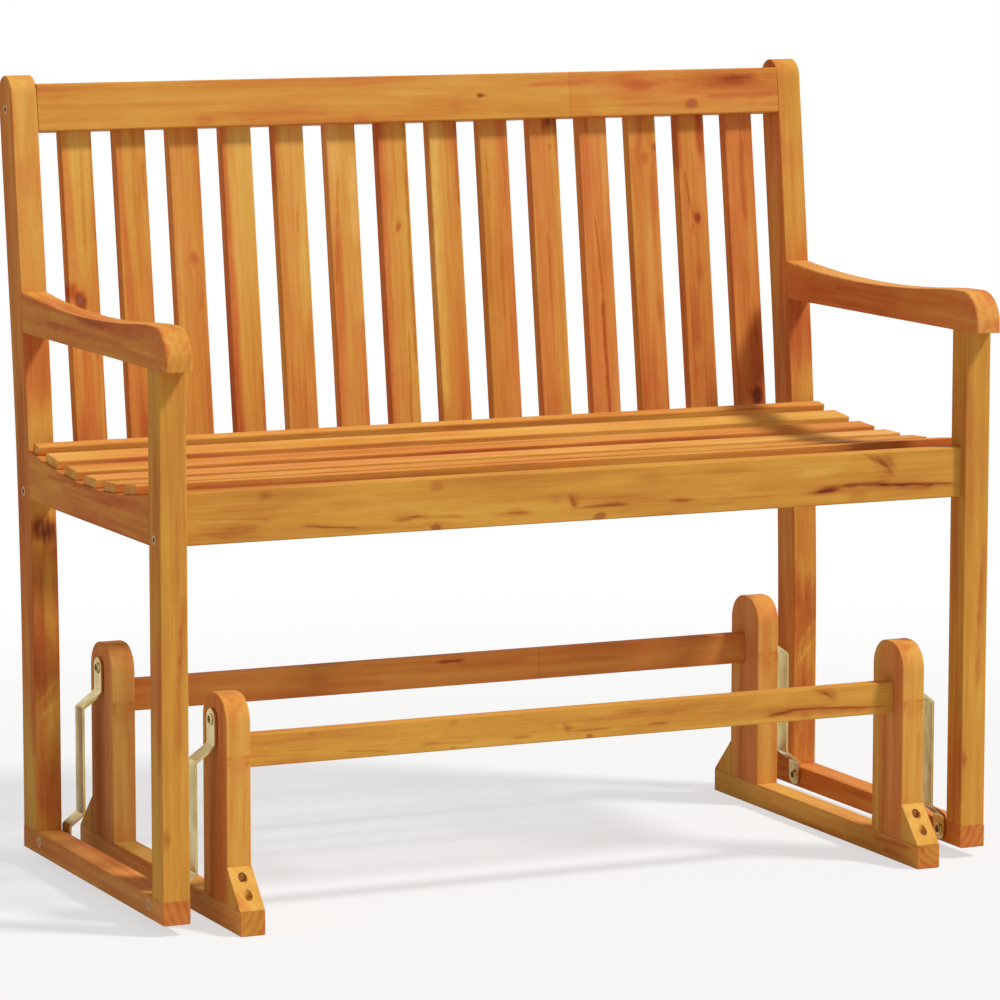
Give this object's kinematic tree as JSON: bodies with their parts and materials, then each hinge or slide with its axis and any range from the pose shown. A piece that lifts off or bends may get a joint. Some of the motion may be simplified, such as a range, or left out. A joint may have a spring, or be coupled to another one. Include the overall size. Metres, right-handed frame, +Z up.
{
  "type": "glider bench",
  "caption": "Slatted timber glider bench for two, hung on cranked steel straps from a low base of braced uprights on long feet.",
  "frame": {"origin": "on the floor, under the middle of the overall width and depth", "axes": "+Z up, -Y the way the sitter faces, +X along the width"},
  "size_m": [1.06, 0.5684, 0.942],
  "materials": {
    "oiled_timber": "oiled hardwood with an open grain, dark streaks and a few knots, satin",
    "zinc_steel": "yellow zinc plated steel, slightly dulled"
  },
  "bodies": {
    "base": {"base_screws": "zinc_steel", "front_stretcher": "oiled_timber", "left_foot": "oiled_timber", "left_front_brace": "oiled_timber", "left_front_upright": "oiled_timber", "left_rear_brace": "oiled_timber", "left_rear_upright": "oiled_timber", "rear_stretcher": "oiled_timber", "right_foot": "oiled_timber", "right_front_brace": "oiled_timber", "right_front_upright": "oiled_timber", "right_rear_brace": "oiled_timber", "right_rear_upright": "oiled_timber", "upper_pivot_bolts": "zinc_steel", "upper_pivot_washers": "zinc_steel"},
    "left_front_hanger": {"left_front_hanger": "zinc_steel"},
    "left_rear_hanger": {"left_rear_hanger": "zinc_steel"},
    "right_front_hanger": {"right_front_hanger": "zinc_steel"},
    "right_rear_hanger": {"right_rear_hanger": "zinc_steel"},
    "glider": {"back_slat_01": "oiled_timber", "back_slat_02": "oiled_timber", "back_slat_03": "oiled_timber", "back_slat_04": "oiled_timber", "back_slat_05": "oiled_timber", "back_slat_06": "oiled_timber", "back_slat_07": "oiled_timber", "back_slat_08": "oiled_timber", "back_slat_09": "oiled_timber", "back_slat_10": "oiled_timber", "back_slat_11": "oiled_timber", "back_slat_12": "oiled_timber", "back_slat_13": "oiled_timber", "back_slat_14": "oiled_timber", "back_top_rail": "oiled_timber", "frame_connector_bolts": "zinc_steel", "frame_dowels": "oiled_timber", "left_armrest": "oiled_timber", "left_front_leg": "oiled_timber", "left_rear_post": "oiled_timber", "left_runner": "oiled_timber", "left_seat_side_rail": "oiled_timber", "lower_pivot_bolts": "zinc_steel", "lower_pivot_sleeves": "zinc_steel", "lower_pivot_washers": "zinc_steel", "right_armrest": "oiled_timber", "right_front_leg": "oiled_timber", "right_rear_post": "oiled_timber", "right_runner": "oiled_timber", "right_seat_side_rail": "oiled_timber", "seat_centre_bearer": "oiled_timber", "seat_front_rail": "oiled_timber", "seat_rear_rail": "oiled_timber", "seat_slat_1": "oiled_timber", "seat_slat_2": "oiled_timber", "seat_slat_3": "oiled_timber", "seat_slat_4": "oiled_timber", "seat_slat_5": "oiled_timber", "seat_slat_6": "oiled_timber", "seat_slat_screws": "zinc_steel"}
  },
  "joints": [
    {"name": "left_front_swing", "type": "hinge", "parent": "base", "child": "left_front_hanger", "pos_m": [-0.4521, -0.20544, 0.236], "axis": [1, 0, 0], "range_deg": [-18, 18]},
    {"name": "left_rear_swing", "type": "hinge", "parent": "base", "child": "left_rear_hanger", "pos_m": [-0.4521, 0.16956, 0.236], "axis": [1, 0, 0], "range_deg": [-18, 18]},
    {"name": "right_front_swing", "type": "hinge", "parent": "base", "child": "right_front_hanger", "pos_m": [0.4521, -0.20544, 0.236], "axis": [1, 0, 0], "range_deg": [-18, 18]},
    {"name": "right_rear_swing", "type": "hinge", "parent": "base", "child": "right_rear_hanger", "pos_m": [0.4521, 0.16956, 0.236], "axis": [1, 0, 0], "range_deg": [-18, 18]},
    {"name": "glider_level", "type": "hinge", "parent": "left_front_hanger", "child": "glider", "pos_m": [-0.4945, -0.20544, 0.029], "axis": [1, 0, 0], "range_deg": [-18, 18]}
  ],
  "couplings": [
    {"joint": "left_rear_swing", "follows": "left_front_swing", "ratio": 1},
    {"joint": "right_front_swing", "follows": "left_front_swing", "ratio": 1},
    {"joint": "right_rear_swing", "follows": "left_front_swing", "ratio": 1},
    {"joint": "glider_level", "follows": "left_front_swing", "ratio": -1}
  ]
}
